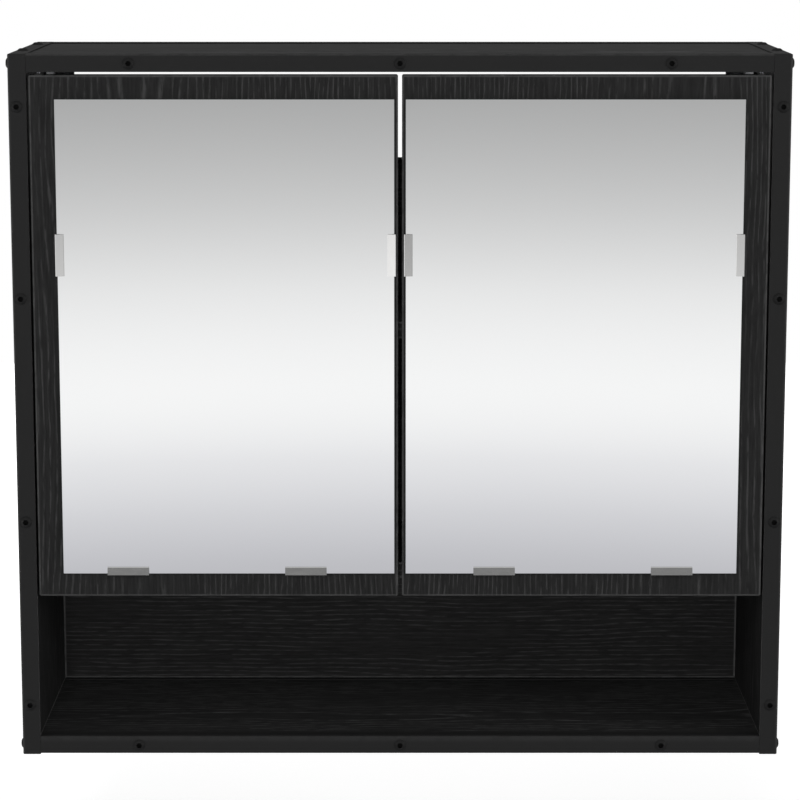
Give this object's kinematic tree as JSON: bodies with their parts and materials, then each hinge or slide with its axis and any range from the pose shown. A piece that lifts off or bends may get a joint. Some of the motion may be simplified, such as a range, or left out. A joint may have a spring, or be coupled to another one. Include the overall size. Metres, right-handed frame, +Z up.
{
  "type": "medicine cabinet with mirror",
  "caption": "Wall-hung bathroom cabinet in black oak-look board edged with steel angle, with mirror doors held by clips and turning on pivots, an inner shelf and an open niche below.",
  "frame": {"origin": "on the wall plane, midway between the two wall-screw holes of the wall brackets", "axes": "+X to the right along the cabinet, +Y into the wall, +Z up; the doors face -Y"},
  "size_m": [0.6494, 0.202, 0.6004],
  "materials": {
    "black_steel": "matt black powder coat",
    "black_oak_board": "black-stained open oak grain",
    "back_board": "black oak-look board",
    "mirror_glass": "silvered glass",
    "clip_metal": "nickel plated",
    "zinc_steel": "zinc plated",
    "pin_steel": "blued turned steel",
    "bush_plastic": "moulded black",
    "black_screw": "black oxide"
  },
  "bodies": {
    "cabinet": {"back_panel": "back_board", "bottom_deck": "black_oak_board", "bottom_front_rail": "black_steel", "bottom_rear_rail": "black_steel", "corner_screws": "black_screw", "deck_screws": "black_screw", "divider": "black_oak_board", "inner_shelf": "black_oak_board", "left_bottom_rail": "black_steel", "left_front_upright": "black_steel", "left_lower_pivot_pin": "pin_steel", "left_pivot_bracket": "black_steel", "left_rear_upright": "black_steel", "left_side_panel": "black_oak_board", "left_top_rail": "black_steel", "left_upper_pivot_pin": "pin_steel", "left_wall_bracket": "zinc_steel", "magnet_catches": "bush_plastic", "rail_screws": "black_screw", "right_bottom_rail": "black_steel", "right_front_upright": "black_steel", "right_lower_pivot_pin": "pin_steel", "right_pivot_bracket": "black_steel", "right_rear_upright": "black_steel", "right_side_panel": "black_oak_board", "right_top_rail": "black_steel", "right_upper_pivot_pin": "pin_steel", "right_wall_bracket": "zinc_steel", "shelf_pins": "pin_steel", "top_deck": "black_oak_board", "top_front_rail": "black_steel", "top_rear_rail": "black_steel", "upright_screws": "black_screw"},
    "left_door": {"left_door_panel": "black_oak_board", "left_lower_bush": "bush_plastic", "left_mirror": "mirror_glass", "left_mirror_clips": "clip_metal", "left_strike_plate": "zinc_steel", "left_upper_bush": "bush_plastic"},
    "right_door": {"right_door_panel": "black_oak_board", "right_lower_bush": "bush_plastic", "right_mirror": "mirror_glass", "right_mirror_clips": "clip_metal", "right_strike_plate": "zinc_steel", "right_upper_bush": "bush_plastic"}
  },
  "joints": [
    {"name": "left_door_swing", "type": "hinge", "parent": "cabinet", "child": "left_door", "pos_m": [-0.2975, -0.191, -0.2], "axis": [0, 0, -1], "range_deg": [0, 95]},
    {"name": "right_door_swing", "type": "hinge", "parent": "cabinet", "child": "right_door", "pos_m": [0.2975, -0.191, -0.2], "axis": [0, 0, 1], "range_deg": [0, 95]}
  ]
}
